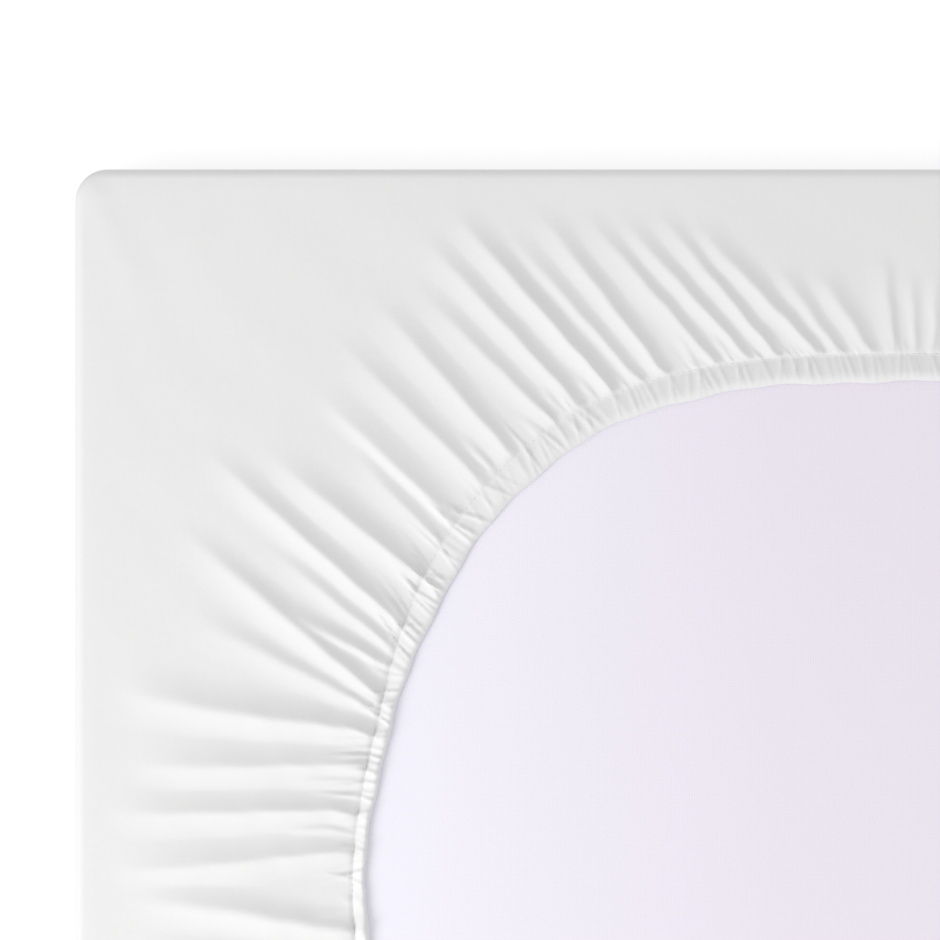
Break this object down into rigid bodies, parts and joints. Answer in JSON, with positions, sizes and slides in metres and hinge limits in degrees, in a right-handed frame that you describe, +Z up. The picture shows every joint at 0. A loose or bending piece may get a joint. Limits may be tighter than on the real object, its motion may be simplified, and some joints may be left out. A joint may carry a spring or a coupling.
{
  "type": "fitted sheet on a cot mattress",
  "caption": "White fitted sheet on a plain cot mattress, lying face down, its gathered elastic hem an oval opening over the mattress's underside.",
  "frame": {"origin": "on the surface that the sheet lies on, under the middle of the mattress", "axes": "+X along the mattress, +Y across it, +Z up, from the sheet's face to its gathered underside"},
  "size_m": [1.4046, 0.7046, 0.1128],
  "materials": {
    "sheet_cotton": "matte plain-woven cotton, white",
    "mattress_ticking": "smooth pale ticking, lilac white"
  },
  "bodies": {
    "root": {"fitted_sheet": "sheet_cotton", "mattress": "mattress_ticking"}
  },
  "joints": []
}
